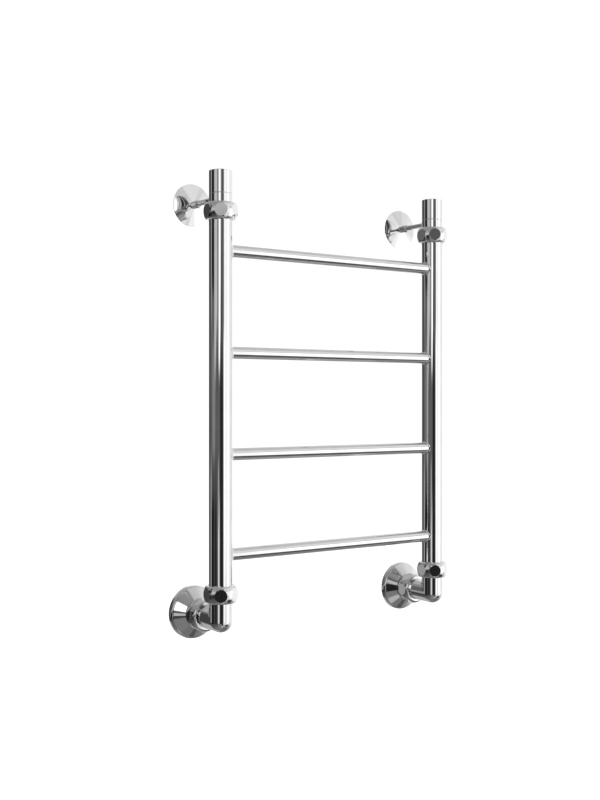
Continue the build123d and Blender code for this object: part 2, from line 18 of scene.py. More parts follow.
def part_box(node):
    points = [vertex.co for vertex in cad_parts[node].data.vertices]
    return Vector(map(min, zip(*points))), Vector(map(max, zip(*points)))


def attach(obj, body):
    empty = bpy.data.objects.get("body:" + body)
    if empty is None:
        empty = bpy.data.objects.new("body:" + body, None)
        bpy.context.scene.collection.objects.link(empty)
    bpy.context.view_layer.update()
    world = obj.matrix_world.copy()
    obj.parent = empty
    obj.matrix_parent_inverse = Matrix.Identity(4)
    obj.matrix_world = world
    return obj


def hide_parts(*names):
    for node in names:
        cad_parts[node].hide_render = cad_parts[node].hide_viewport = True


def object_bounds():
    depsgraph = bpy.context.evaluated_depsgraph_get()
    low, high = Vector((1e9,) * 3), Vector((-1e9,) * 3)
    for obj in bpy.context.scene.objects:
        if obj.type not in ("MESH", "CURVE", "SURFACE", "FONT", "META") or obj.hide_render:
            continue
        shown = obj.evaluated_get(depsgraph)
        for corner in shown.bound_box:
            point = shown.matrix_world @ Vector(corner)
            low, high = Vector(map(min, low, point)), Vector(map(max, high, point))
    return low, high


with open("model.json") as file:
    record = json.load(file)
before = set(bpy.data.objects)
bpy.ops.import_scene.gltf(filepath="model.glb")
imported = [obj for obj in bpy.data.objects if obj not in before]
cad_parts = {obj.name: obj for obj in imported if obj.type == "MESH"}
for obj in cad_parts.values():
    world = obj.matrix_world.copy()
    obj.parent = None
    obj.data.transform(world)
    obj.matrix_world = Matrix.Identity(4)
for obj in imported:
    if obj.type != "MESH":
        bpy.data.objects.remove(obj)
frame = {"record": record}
CAD_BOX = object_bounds()

log = logging.getLogger("towel_radiator")

MM = 0.001
SIDES = ("left", "right")
FULL_TURN = 2 * math.pi
QUARTER = math.pi / 2
FINE_STEPS = 128  # faces round a tube
SMALL_STEPS = 64  # faces round a screw or a ring
MERGE = 1e-6
EDGE_SOFTNESS = 0.2 * MM
SHARP = math.radians(32)
NUT_SHARP = math.radians(40)
THREAD_SHARP = math.radians(50)

Input = bpy.types.NodeSocket | float | tuple[float, ...] | Vector  # what a node's socket takes


class Way(Enum):
    """The way in which a piece's own axis points, as a turn of an upright piece."""

    UP = ("X", 0.0)
    DOWN = ("X", math.pi)
    TO_WALL = ("X", -QUARTER)
    TO_ROOM = ("X", QUARTER)
    TO_RIGHT = ("Y", QUARTER)

    def turn(self) -> Matrix:
        """The turn that points an upright piece this way."""
        axis, angle = self.value
        return Matrix.Rotation(angle, 4, axis)

    def placed_at(self, place: Vector) -> Matrix:
        """The matrix that stands an upright outline on a place, pointing this way.

        Args:
            place: where the outline's height 0 comes to lie on its axis.

        Returns:
            The matrix for the piece's mesh.
        """
        return Matrix.Translation(place) @ self.turn()


class Graph:
    """A node tree, written as calls."""

    def __init__(self, tree: bpy.types.NodeTree) -> None:
        """Empties the tree."""
        self.tree = tree
        tree.nodes.clear()

    def node(self, kind: str, settings: dict[str, str] | None = None, **sockets: Input) -> bpy.types.Node:
        """Adds a node.

        Args:
            kind: the node's type, without its ShaderNode prefix.
            settings: the node's own properties.
            **sockets: input values or sockets to link, by socket name with _ for a space.

        Returns:
            The node.
        """
        made = self.tree.nodes.new("ShaderNode" + kind)
        for key, value in (settings or {}).items():
            setattr(made, key, value)
        for key, value in sockets.items():
            self.feed(made.inputs[key.replace("_", " ")], value)
        return made

    def feed(self, socket: bpy.types.NodeSocket, value: Input) -> None:
        """Links a socket to the value if that is a socket too, and otherwise sets it.

        Args:
            socket: the input.
            value: what it takes.
        """
        if isinstance(value, bpy.types.NodeSocket):
            self.tree.links.new(value, socket)
        else:
            socket.default_value = value

    def math(self, operation: str, first: Input, second: Input = 0.0) -> bpy.types.NodeSocket:
        """Adds a Math node.

        Args:
            operation: its operation.
            first: its first number or socket.
            second: its second number or socket.

        Returns:
            The node's output.
        """
        made = self.node("Math", {"operation": operation})
        self.feed(made.inputs[0], first)
        self.feed(made.inputs[1], second)
        return made.outputs[0]

    def spread(
        self, value: Input, low: float, high: float, to_low: float, to_high: float
    ) -> bpy.types.NodeSocket:
        """Maps a value from one range to another, and stops at its ends.

        Args:
            value: the value.
            low: the first range's start.
            high: the first range's end.
            to_low: the second range's start.
            to_high: the second range's end.

        Returns:
            The mapped value.
        """
        made = self.node("MapRange", Value=value, From_Min=low, From_Max=high, To_Min=to_low, To_Max=to_high)
        return made.outputs["Result"]

    def noise(self, place: Input, scale: float, detail: float) -> bpy.types.NodeSocket:
        """Adds a Noise Texture node, and returns its height."""
        return self.node("TexNoise", Vector=place, Scale=scale, Detail=detail).outputs[0]

    def tinted(
        self, colour: tuple[float, ...], other: tuple[float, ...], share: Input
    ) -> bpy.types.NodeSocket:
        """Mixes two colours.

        Args:
            colour: the first colour.
            other: the second colour.
            share: the second colour's share.

        Returns:
            The mixed colour.
        """
        made = self.node("Mix", {"data_type": "RGBA"}, Factor=share)
        self.feed(made.inputs[6], (*colour, 1.0))
        self.feed(made.inputs[7], (*other, 1.0))
        return made.outputs[2]

    def blend(self, first: Input, second: Input, share: Input) -> bpy.types.NodeSocket:
        """Mixes two numbers.

        Args:
            first: the first number.
            second: the second number.
            share: the second number's share.

        Returns:
            The mixed number.
        """
        made = self.node("Mix", {"data_type": "FLOAT"}, Factor=share)
        self.feed(made.inputs[2], first)
        self.feed(made.inputs[3], second)
        return made.outputs[0]


def own_place(graph: Graph, centre: Vector, way: Way) -> bpy.types.NodeSocket:
    """Makes a piece's own coordinates, whose Z runs along its axis.

    Args:
        graph: the material's tree.
        centre: a point on the piece's axis.
        way: the way in which that axis points.

    Returns:
        The coordinates.
    """
    upright = way.turn().inverted()
    place = graph.node("TexCoord").outputs["Object"]
    turned = graph.node("Mapping", Vector=place, Location=upright @ -centre)
    turned.inputs["Rotation"].default_value = upright.to_euler()
    return turned.outputs[0]


class Grain(Enum):
    """How the polishing lines lie on a metal piece."""

    ALONG = "along"  # drawn along the piece's axis
    ROUND = "round"  # turned round the piece's axis
    NONE = "none"  # buffed every way


@dataclass(frozen=True)
class Metal:
    """A plated or bare metal finish.

    Args:
        name: the finish's name.
        colour: its reflectance.
        roughness: how dull the cleanest spots are.
        haze: how much duller its wiped and handled spots are.
        grain: how its polishing lines lie.
        line_depth: the depth of those lines, in metres.
        ripple: the height of the slow waves that polishing leaves, in metres.
        smudges: the wiped spots to the metre.
        specks: the specks of dust to the metre.
        waves: the slow waves to the metre.
        drawn_lines: the polishing lines to the metre on a drawn piece.
        turned_lines: the polishing lines to the metre on a turned piece.
        buffed_marks: the polishing marks to the metre on a buffed piece.
        worn: how much of its colour is left at the wiped spots.
    """

    name: str
    colour: tuple[float, float, float]
    roughness: float
    haze: float
    grain: Grain
    line_depth: float
    ripple: float
    smudges: float = 34.0
    specks: float = 900.0
    waves: float = 42.0
    drawn_lines: float = 1400.0
    turned_lines: float = 2200.0
    buffed_marks: float = 700.0
    worn: float = 0.93

    def dress(self, centre: Vector, way: Way) -> bpy.types.Material:
        """Makes the material for one piece.

        Args:
            centre: a point on the piece's axis.
            way: the way in which that axis points.

        Returns:
            The material.
        """
        material = bpy.data.materials.new(self.name)
        material.use_nodes = True
        graph = Graph(material.node_tree)
        local = own_place(graph, centre, way)
        smudges = graph.node("TexNoise", Vector=local, Scale=self.smudges, Detail=5.0, Roughness=0.62)
        smudge = smudges.outputs[0]
        specks = graph.noise(local, self.specks, 2.0)
        wave = graph.noise(local, self.waves, 1.0)
        lines = self.lines(graph, local)
        dull = graph.spread(smudge, 0.42, 0.78, self.roughness, self.roughness + self.haze)
        dull = graph.math("ADD", dull, graph.math("MULTIPLY", lines, self.haze * 0.3))
        dull = graph.math("ADD", dull, graph.spread(specks, 0.66, 0.72, 0.0, self.haze * 0.5))
        darker = tuple(part * self.worn for part in self.colour)
        tint = graph.tinted(self.colour, darker, graph.spread(smudge, 0.35, 0.75, 0.0, 1.0))
        slow = graph.node("Bump", Height=wave, Distance=self.ripple)
        fine = graph.node("Bump", Height=lines, Distance=self.line_depth, Normal=slow.outputs[0])
        shader = graph.node(
            "BsdfPrincipled", Metallic=1.0, Base_Color=tint, Roughness=dull, Normal=fine.outputs[0]
        )
        graph.node("OutputMaterial", Surface=shader.outputs[0])
        return material

    def lines(self, graph: Graph, local: bpy.types.NodeSocket) -> bpy.types.NodeSocket:
        """Makes the polishing lines' height.

        Args:
            graph: the material's tree.
            local: coordinates whose Z runs along the piece's axis.

        Returns:
            The height, from 0 to 1.
        """
        if self.grain is Grain.ALONG:
            fine = (self.drawn_lines, self.drawn_lines, 5)
            stretched = graph.node("Mapping", {"vector_type": "POINT"}, Vector=local, Scale=fine)
            return graph.noise(stretched.outputs[0], 1.0, 3.0)
        if self.grain is Grain.NONE:
            return graph.noise(local, self.buffed_marks, 3.0)
        parts = graph.node("SeparateXYZ", Vector=local).outputs
        square = graph.math("ADD", graph.math("POWER", parts[0], 2.0), graph.math("POWER", parts[1], 2.0))
        radius = graph.math("SQRT", square)
        ring = graph.node(
            "CombineXYZ",
            X=graph.math("MULTIPLY", radius, self.turned_lines),
            Y=graph.math("MULTIPLY", parts[2], self.turned_lines),
        )
        return graph.noise(ring.outputs[0], 1.0, 2.0)


@dataclass(frozen=True)
class Moulded:
    """A rubber or plastic finish.

    Args:
        name: the finish's name.
        colour: its colour.
        worn: its colour where it is rubbed or dusty.
        roughness: how dull it is.
        pore: the size of its surface texture, in metres.
        depth: that texture's depth, in metres.
        clouds: the rubbed spots to the metre.
        wear: how much duller the rubbed spots are.
    """

    name: str
    colour: tuple[float, float, float]
    worn: tuple[float, float, float]
    roughness: float
    pore: float
    depth: float
    clouds: float = 160.0
    wear: float = 0.15

    def dress(self, centre: Vector, way: Way) -> bpy.types.Material:
        """Makes the material for one piece.

        Args:
            centre: a point on the piece's axis.
            way: the way in which that axis points.

        Returns:
            The material.
        """
        material = bpy.data.materials.new(self.name)
        material.use_nodes = True
        graph = Graph(material.node_tree)
        local = own_place(graph, centre, way)
        cloud = graph.noise(local, self.clouds, 4.0)
        pores = graph.noise(local, 1 / self.pore, 3.0)
        tint = graph.tinted(self.colour, self.worn, graph.spread(cloud, 0.4, 0.75, 0.0, 1.0))
        dull = graph.spread(cloud, 0.3, 0.8, self.roughness, self.roughness + self.wear)
        skin = graph.node("Bump", Height=pores, Distance=self.depth).outputs[0]
        shader = graph.node("BsdfPrincipled", Metallic=0.0, Base_Color=tint, Roughness=dull, Normal=skin)
        graph.node("OutputMaterial", Surface=shader.outputs[0])
        return material


CHROME = (0.90, 0.90, 0.905)
DRAWN_CHROME = Metal("drawn_chrome_tube", CHROME, 0.014, 0.035, Grain.ALONG, 0.4e-6, 14e-6)
TURNED_CHROME = Metal("turned_chrome", CHROME, 0.014, 0.035, Grain.ROUND, 0.3e-6, 6e-6)
SPUN_CHROME = Metal("spun_chrome_sheet", CHROME, 0.016, 0.04, Grain.ROUND, 0.5e-6, 16e-6)
BUFFED_CHROME = Metal("buffed_chrome_casting", CHROME, 0.016, 0.04, Grain.NONE, 0.3e-6, 12e-6)
BRASS = Metal("turned_brass", (0.83, 0.63, 0.32), 0.16, 0.16, Grain.ROUND, 2e-6, 4e-6)
ZINC = Metal("zinc_plated_steel", (0.66, 0.67, 0.66), 0.28, 0.2, Grain.NONE, 2e-6, 8e-6)
SEAL_RUBBER = Moulded("seal_rubber", (0.018, 0.018, 0.019), (0.05, 0.05, 0.052), 0.55, 0.25 * MM, 20e-6)
ACETAL = Moulded("white_acetal", (0.82, 0.82, 0.80), (0.72, 0.72, 0.69), 0.28, 0.6 * MM, 6e-6)
NYLON = Moulded("grey_nylon", (0.40, 0.41, 0.43), (0.52, 0.53, 0.54), 0.45, 0.4 * MM, 14e-6)


class Outline:
    """The half section of a turned piece: points of (distance from the axis, height along it)."""

    def __init__(self, radius: float, height: float) -> None:
        """Starts the outline at a point."""
        self.mesh = bmesh.new()
        self.first = self.last = self.mesh.verts.new((radius, 0, height))

    def line(self, *points: tuple[float, float]) -> "Outline":
        """Goes on straight to each point in turn.

        Args:
            *points: the points.

        Returns:
            The outline.
        """
        for radius, height in points:
            end = self.mesh.verts.new((radius, 0, height))
            self.mesh.edges.new((self.last, end))
            self.last = end
        return self

    def rows(self, radius: float, height: float, count: int) -> "Outline":
        """Goes on straight to a point in equal rows.

        Args:
            radius: the point's distance from the axis.
            height: its height.
            count: how many rows there are.

        Returns:
            The outline.
        """
        start = self.last.co.copy()
        for row in range(1, count + 1):
            spot = start.lerp(Vector((radius, 0, height)), row / count)
            self.line((spot.x, spot.z))
        return self

    def arc(
        self, centre: tuple[float, float], radius: float, start: float, end: float, parts: int
    ) -> "Outline":
        """Goes on round an arc.

        Args:
            centre: its centre.
            radius: its radius.
            start: the angle of its first point, in degrees from straight out.
            end: the angle of its last point.
            parts: how many straight pieces it has.

        Returns:
            The outline.
        """
        for part in range(parts + 1):
            angle = math.radians(start + (end - start) * part / parts)
            self.line((centre[0] + radius * math.cos(angle), centre[1] + radius * math.sin(angle)))
        return self

    def closed(self) -> "Outline":
        """Joins the last point to the first, and returns the outline."""
        self.mesh.edges.new((self.last, self.first))
        return self

    def turned(self, steps: int = FINE_STEPS, softness: float = EDGE_SOFTNESS) -> bmesh.types.BMesh:
        """Spins the outline once round its axis.

        Args:
            steps: how many faces there are in the round.
            softness: how far its sharp edges are rounded, or 0.

        Returns:
            The turned mesh.
        """
        bm = self.mesh
        bmesh.ops.remove_doubles(bm, verts=bm.verts, dist=MERGE)
        bmesh.ops.spin(
            bm,
            geom=bm.verts[:] + bm.edges[:],
            cent=(0, 0, 0),
            axis=(0, 0, 1),
            dvec=(0, 0, 0),
            angle=FULL_TURN,
            steps=steps,
            use_merge=True,
            use_duplicate=False,
        )
        cleaned(bm)
        if softness:
            soften(bm, softness)
        return bm


def cleaned(bm: bmesh.types.BMesh) -> None:
    """Merges a mesh's doubles and turns its faces outwards.

    Args:
        bm: the mesh.
    """
    bmesh.ops.remove_doubles(bm, verts=bm.verts, dist=MERGE)
    bmesh.ops.dissolve_degenerate(bm, edges=bm.edges, dist=MERGE)
    bmesh.ops.recalc_face_normals(bm, faces=bm.faces)


def soften(bm: bmesh.types.BMesh, width: float, least: float = math.radians(40)) -> None:
    """Rounds a mesh's sharp edges.

    Args:
        bm: the mesh.
        width: how far back from the edge the rounding starts.
        least: the smallest angle between faces that counts as sharp.
    """
    rounded(bm, [edge for edge in bm.edges if edge.is_manifold and edge.calc_face_angle() > least], width, 3)


def rounded(bm: bmesh.types.BMesh, edges: list[bmesh.types.BMEdge], width: float, segments: int) -> None:
    """Rounds some edges of a mesh.

    Args:
        bm: the mesh.
        edges: the edges.
        width: how far back from the edge the rounding starts.
        segments: how many faces there are across it.
    """
    bmesh.ops.bevel(
        bm,
        geom=edges,
        offset=width,
        offset_type="OFFSET",
        segments=segments,
        profile=0.5,
        affect="EDGES",
        clamp_overlap=True,
        material=-1,
    )


def grown(
    bm: bmesh.types.BMesh, edges: list[bmesh.types.BMEdge]
) -> tuple[list[bmesh.types.BMVert], list[bmesh.types.BMEdge]]:
    """Extrudes a ring of edges in place.

    Args:
        bm: the mesh.
        edges: the ring's edges.

    Returns:
        The new ring's points and its edges.
    """
    made = bmesh.ops.extrude_edge_only(bm, edges=edges)["geom"]
    ring = [item for item in made if isinstance(item, bmesh.types.BMVert)]
    points = set(ring)
    grown_edges = [item for item in made if isinstance(item, bmesh.types.BMEdge)]
    return ring, [edge for edge in grown_edges if points.issuperset(edge.verts)]


def edges_at(verts: list[bmesh.types.BMVert]) -> list[bmesh.types.BMEdge]:
    """The edges that meet some points, each once and always in the same order."""
    return list(dict.fromkeys(edge for vert in verts for edge in vert.link_edges))


def middle(node: str) -> Vector:
    """The middle of a node's box."""
    low, high = (Vector(corner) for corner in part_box(node))
    return (low + high) / 2


def extent(node: str) -> Vector:
    """The size of a node's box."""
    low, high = (Vector(corner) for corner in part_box(node))
    return high - low


def foot(node: str, way: Way) -> Vector:
    """Finds where a node starts on its own axis.

    Args:
        node: the node.
        way: the way in which its axis points.

    Returns:
        The point.
    """
    half = extent(node) / 2
    axis = way.turn().to_3x3() @ Vector((0, 0, 1))
    return middle(node) - Vector(half[i] * axis[i] for i in range(3))


def finished(
    bm: bmesh.types.BMesh,
    name: str,
    node: str,
    finish: Metal | Moulded,
    way: Way = Way.UP,
    smooth: float = SHARP,
) -> bpy.types.Object:
    """Makes a piece of a mesh that stands in its place, in the stead of a CAD node.

    Args:
        bm: the mesh, which is used up.
        name: the piece's name.
        node: the node that it replaces, whose body it rides on.
        finish: its finish.
        way: the way in which its axis points.
        smooth: edges sharper than this angle stay crisp.

    Returns:
        The piece.
    """
    data = bpy.data.meshes.new(name)
    bm.to_mesh(data)
    bm.free()
    data.shade_smooth()
    data.set_sharp_from_angle(angle=smooth)
    data.materials.append(finish.dress(middle(node), way))
    piece = bpy.data.objects.new(name, data)
    bpy.context.scene.collection.objects.link(piece)
    even = piece.modifiers.new("even_shading", "WEIGHTED_NORMAL")
    even.keep_sharp = True
    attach(piece, BODY_OF[node])
    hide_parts(node)
    log.info("%s rides on %s, %d faces, %s", name, BODY_OF[node], len(data.polygons), finish.name)
    return piece


def stood(
    bm: bmesh.types.BMesh,
    work: str,
    node: str,
    finish: Metal | Moulded,
    way: Way = Way.UP,
    smooth: float = SHARP,
) -> bpy.types.Object:
    """Stands a mesh that was built upright from the origin in its node's place, and finishes it.

    Args:
        bm: the mesh, which is used up.
        work: how the piece is made, as its name says it.
        node: the node that it replaces.
        finish: its finish.
        way: the way in which its axis points.
        smooth: edges sharper than this angle stay crisp.

    Returns:
        The piece.
    """
    bm.transform(way.placed_at(foot(node, way)))
    return finished(bm, f"{work}_{node}", node, finish, way, smooth)


def refined(node: str, finish: Metal | Moulded, way: Way = Way.UP) -> bpy.types.Object:
    """Makes a piece of a merged and smoothly shaded copy of a CAD node.

    Args:
        node: the node.
        finish: the piece's finish.
        way: the way in which its axis points.

    Returns:
        The piece.
    """
    bm = bmesh.new()
    bm.from_mesh(bpy.data.objects[node].data)
    bmesh.ops.remove_doubles(bm, verts=bm.verts, dist=MERGE)
    return finished(bm, f"{node}.fine", node, finish, way)


BODY_OF = {node: body for body, nodes in frame["record"]["behaviour"]["bodies"].items() for node in nodes}


@dataclass
class Ladder:
    """The two collectors and the rungs between them.

    Args:
        rungs: the rungs' nodes.
        collector_wall: the collectors' wall.
        rung_radius: the rungs' radius, away from their welds.
        weld: the radius of the polished weld at each end of a rung.
        weld_rows: the rows of faces along a weld.
        sunk: how far a rung's end goes into the collector's wall.
    """

    rungs: tuple[str, ...] = ("rung_bottom", "rung_lower_middle", "rung_upper_middle", "rung_top")
    collector_wall: float = 2 * MM
    rung_radius: float = 9 * MM
    weld: float = 2 * MM
    weld_rows: int = 10
    sunk: float = 1 * MM

    def build(self) -> None:
        """Builds every tube."""
        for side in SIDES:
            self.collector(f"collector_{side}")
        for node in self.rungs:
            self.rung(node)

    def collector(self, node: str) -> None:
        """Builds one collector: a long open tube.

        Args:
            node: its node.
        """
        radius = extent(node).x / 2
        length = extent(node).z
        bore = radius - self.collector_wall
        outline = Outline(bore, 0).line((radius, 0), (radius, length), (bore, length)).closed()
        bm = outline.turned()
        stood(bm, "tube", node, DRAWN_CHROME)

    def rung(self, node: str) -> None:
        """Builds one rung: a rod whose ends flare out where they are welded to the collectors.

        Args:
            node: its node.
        """
        collector = extent("collector_left").x / 2
        axis = middle("collector_right").x
        bm = bmesh.new()
        radius = self.rung_radius
        ring = bmesh.ops.create_circle(bm, cap_ends=True, segments=FINE_STEPS, radius=radius)["verts"]
        bmesh.ops.transform(bm, matrix=Way.TO_RIGHT.turn(), verts=ring)
        stations = self.stations()
        self.lay(ring, -1, stations[0], axis, collector)
        edges = edges_at(ring)
        for end, rows in ((-1, stations[1:]), (1, stations[::-1])):
            for row in rows:
                ring, edges = grown(bm, edges)
                self.lay(ring, end, row, axis, collector)
        bmesh.ops.holes_fill(bm, edges=edges, sides=0)
        bmesh.ops.recalc_face_normals(bm, faces=bm.faces)
        bm.transform(Matrix.Translation(middle(node)))
        finished(bm, f"tube_{node}", node, DRAWN_CHROME, Way.TO_RIGHT)

    def stations(self) -> list[tuple[float, float]]:
        """The rows of a flared end, as (radius, distance out of the collector's surface).

        Returns:
            The rows, from inside the collector's wall to the plain rung.
        """
        rows = [(self.rung_radius + self.weld, -self.sunk)]
        for row in range(self.weld_rows + 1):
            angle = QUARTER * row / self.weld_rows
            radius = self.rung_radius + self.weld * (1 - math.sin(angle))
            rows.append((radius, self.weld * (1 - math.cos(angle))))
        return rows

    def lay(
        self,
        ring: list[bmesh.types.BMVert],
        end: int,
        row: tuple[float, float],
        axis: float,
        collector: float,
    ) -> None:
        """Lays a ring of points round the rung, at one distance out of the collector's curved surface.

        Args:
            ring: the ring's points.
            end: -1 for the rung's left end, and 1 for its right.
            row: the ring's radius and its distance from the collector's surface.
            axis: the distance from the rung's middle to the collector's axis.
            collector: the collector's radius.
        """
        radius, out = row
        for vert in ring:
            across = Vector((0, vert.co.y, vert.co.z)).normalized() * radius
            surface = math.sqrt(collector**2 - across.y**2)
            vert.co = Vector((end * (axis - surface - out), across.y, across.z))


@dataclass
class UnionJoint:
    """A union nut with the collar and the flat gasket inside it.

    Args:
        place: top, bottom or wall, as in the nodes' names.
        way: from the nut's shoulder to its open end.
        turn: how far a flat is turned from the X axis, in degrees.
        flat: the distance from the axis to a flat.
        ball: the radius of the ball that the barrel is turned to.
        rounding: the radius at each end of the barrel.
        shoulder: the thickness of the shoulder that holds the collar.
        tube_hole: the shoulder's bore.
        thread_hole: the threaded end's bore.
        ball_rows: the rows of faces round the ball.
        rounding_rows: the rows of faces round each end.
        flat_edge: how much a flat's edge is rounded.
    """

    place: str
    way: Way
    turn: float = 0.0
    flat: float = 23 * MM
    ball: float = 24.75 * MM
    rounding: float = 4 * MM
    shoulder: float = 5 * MM
    tube_hole: float = 17.3 * MM
    thread_hole: float = 19.3 * MM
    ball_rows: int = 26
    rounding_rows: int = 10
    flat_edge: float = 0.22 * MM

    def build(self) -> None:
        """Builds the joint's pieces on both sides."""
        for side in SIDES:
            self.nut(f"nut_{self.place}_{side}")
            refined(f"collar_{self.place}_{side}", TURNED_CHROME, self.way)
            refined(f"gasket_{self.place}_{side}", SEAL_RUBBER, self.way)

    def nut(self, node: str) -> None:
        """Builds the nut: a turned barrel, cut by six flats.

        Args:
            node: its node.
        """
        axis = self.way.turn().to_3x3() @ Vector((0, 0, 1))
        height = abs(extent(node) @ axis)
        half = height / 2
        inset = half - self.rounding
        out = math.sqrt((self.ball - self.rounding) ** 2 - inset**2)
        lean = math.degrees(math.atan2(inset, out))
        outline = Outline(self.tube_hole, 0).line((out, 0))
        outline.arc((out, self.rounding), self.rounding, -90, -lean, self.rounding_rows)
        outline.arc((0, half), self.ball, -lean, lean, self.ball_rows)
        outline.arc((out, height - self.rounding), self.rounding, lean, 90 - 1, self.rounding_rows)
        outline.line((self.thread_hole, height), (self.thread_hole, self.shoulder))
        outline.line((self.tube_hole, self.shoulder))
        bm = outline.closed().turned(softness=0)
        rims = []
        for flat in range(6):
            angle = math.radians(self.turn + 60 * flat)
            outward = Vector((math.cos(angle), math.sin(angle), 0))
            cut = bmesh.ops.bisect_plane(
                bm,
                geom=bm.verts[:] + bm.edges[:] + bm.faces[:],
                dist=MERGE,
                plane_co=outward * self.flat,
                plane_no=outward,
                clear_outer=True,
            )
            rim = [item for item in cut["geom_cut"] if isinstance(item, bmesh.types.BMEdge)]
            bmesh.ops.holes_fill(bm, edges=rim, sides=0)
            rims += rim
        bmesh.ops.recalc_face_normals(bm, faces=bm.faces)
        rounded(bm, [edge for edge in rims if edge.is_valid], self.flat_edge, 2)
        stood(bm, "hexagon", node, TURNED_CHROME, self.way, smooth=NUT_SHARP)


@dataclass
class WallElbow:
    """The elbow, the wall union and the rosette on one side.

    Args:
        side: left or right.
        wall: the elbow's wall.
        flange: the radius of a threaded end, which the union nut turns on.
        flange_length: that end's length.
        flange_round: its edge's rounding.
        flange_bulge: where the rounding's middle lies, as a share of it.
        body: the wall union's plain radius.
        bore: its bore.
        chamber: the radius of the hollow in its flange.
        bend_fillet: the largest radius on the inner side of the elbow's bend.
        fillet_rows: the rows of faces along it.
        outlet: the pipe thread's outer radius.
        roof: the thickness at the hollow's end.
        thread_depth: how deep the pipe thread is cut.
        thread_pitch: the distance between its turns.
        thread_rows_per_turn: the rows of faces along each turn.
        thread_fade: the length over which the thread runs out.
        rosette_rim: the length of the rosette's straight rim.
        rosette_band: the height at which its cone starts.
        rosette_lean: how far the band between them leans in.
        rosette_neck: the cone's smallest radius.
        rosette_sheet: the sheet's thickness.
        rosette_hole: the radius of the hole for the union.
        rosette_rows: the rows of faces along the band.
        rosette_bulge: the power that shapes the band.
        neck_round: how wide the neck's rolled edge is.
        neck_inset: how far in the sheet's back lies at the neck.
        band_inset: how far in it lies at the band.
        band_drop: how far down it lies there.
    """

    side: str
    wall: float = 3 * MM
    flange: float = 19.2 * MM
    flange_length: float = 15 * MM
    flange_round: float = 0.8 * MM
    body: float = 15 * MM
    bore: float = 7 * MM
    chamber: float = 14 * MM
    bend_fillet: float = 4.5 * MM
    fillet_rows: int = 5
    outlet: float = 10.48 * MM
    roof: float = 4 * MM
    thread_depth: float = 0.95 * MM
    thread_pitch: float = 1.814 * MM
    thread_rows_per_turn: int = 8
    thread_fade: float = 1.2 * MM
    rosette_rim: float = 5 * MM
    rosette_band: float = 9.5 * MM
    rosette_lean: float = 3 * MM
    rosette_neck: float = 22 * MM
    rosette_sheet: float = 1.5 * MM
    rosette_hole: float = 15.4 * MM
    rosette_rows: int = 8
    rosette_bulge: float = 1.3
    neck_round: float = 1 * MM
    neck_inset: float = 0.8 * MM
    band_inset: float = 1.9 * MM
    band_drop: float = 0.3 * MM
    flange_bulge: float = 0.3

    def build(self) -> None:
        """Builds the side's pieces."""
        self.elbow()
        self.wall_union()
        self.rosette()

    def elbow(self) -> None:
        """Builds the elbow: two equal tubes that meet in a ball outside and a mitre inside."""
        node = f"elbow_{self.side}"
        low, high = (Vector(corner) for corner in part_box(node))
        radius = -low.z
        corner = Vector((middle(node).x, middle(f"collector_{self.side}").y, 0))
        upright = high.z
        branch = high.y - corner.y
        bm = self.bent(radius, upright, branch, (self.flange, self.flange_length, self.flange_round))
        inner = self.bent(radius - self.wall, upright, branch, None)
        spare = bpy.data.meshes.new("elbow_bore")
        inner.to_mesh(spare)
        inner.free()
        bm.from_mesh(spare)
        bpy.data.meshes.remove(spare)
        for level in (upright, branch):
            axis = 2 if level == upright else 1
            open_edges = [edge for edge in bm.edges if edge.is_boundary]
            ends = [edge for edge in open_edges if all(abs(v.co[axis] - level) < MERGE for v in edge.verts)]
            bmesh.ops.bridge_loops(bm, edges=ends)
        bmesh.ops.recalc_face_normals(bm, faces=bm.faces)
        bm.transform(Matrix.Translation(corner))
        finished(bm, f"bend_{node}", node, BUFFED_CHROME)

    def bent(
        self, radius: float, upright: float, branch: float, flange: tuple[float, float, float] | None
    ) -> bmesh.types.BMesh:
        """Makes the skin of a tube that turns from +Z to +Y round a ball at the origin.

        Args:
            radius: the tube's radius.
            upright: how far its upright leg reaches.
            branch: how far its level leg reaches.
            flange: the threaded end's radius, length and rounding on the upright leg, or None.

        Returns:
            The open skin.
        """
        bm = bmesh.new()
        swap = Matrix(((1, 0, 0, 0), (0, 0, 1, 0), (0, 1, 0, 0), (0, 0, 0, 1)))
        for leg, reach in ((Matrix.Identity(4), upright), (swap, branch)):
            ring = bmesh.ops.create_circle(bm, cap_ends=False, segments=FINE_STEPS, radius=radius)["verts"]
            edges = edges_at(ring)
            leg_verts = list(ring)
            self.lay_crook(ring, radius, 0.0)
            for row in range(1, self.fillet_rows + 1):
                ring, edges = grown(bm, edges)
                leg_verts += ring
                self.lay_crook(ring, radius, self.bend_fillet * QUARTER / 2 * row / self.fillet_rows)
            rows = [(radius, reach)]
            if flange and leg is not swap:
                wide, length, rounding = flange
                rows = [(radius, reach - length), (wide, reach - length), (wide, reach - rounding)]
                bulge = rounding * self.flange_bulge
                rows += [(wide - bulge, reach - bulge), (wide - rounding, reach)]
            for out, height in rows:
                ring, edges = grown(bm, edges)
                leg_verts += ring
                for vert in ring:
                    flat = Vector((vert.co.x, vert.co.y, 0)).normalized() * out
                    vert.co = Vector((flat.x, flat.y, height))
            bmesh.ops.transform(bm, matrix=leg, verts=leg_verts)
        arc = bmesh.ops.create_circle(bm, cap_ends=False, segments=FINE_STEPS, radius=radius)["verts"]
        bmesh.ops.delete(bm, geom=[vert for vert in arc if vert.co.y > MERGE], context="VERTS")
        arc = [vert for vert in arc if vert.is_valid]
        bmesh.ops.spin(
            bm,
            geom=arc + edges_at(arc),
            cent=(0, 0, 0),
            axis=(1, 0, 0),
            dvec=(0, 0, 0),
            angle=QUARTER,
            steps=FINE_STEPS // 4,
            use_merge=False,
            use_duplicate=False,
        )
        cleaned(bm)
        return bm

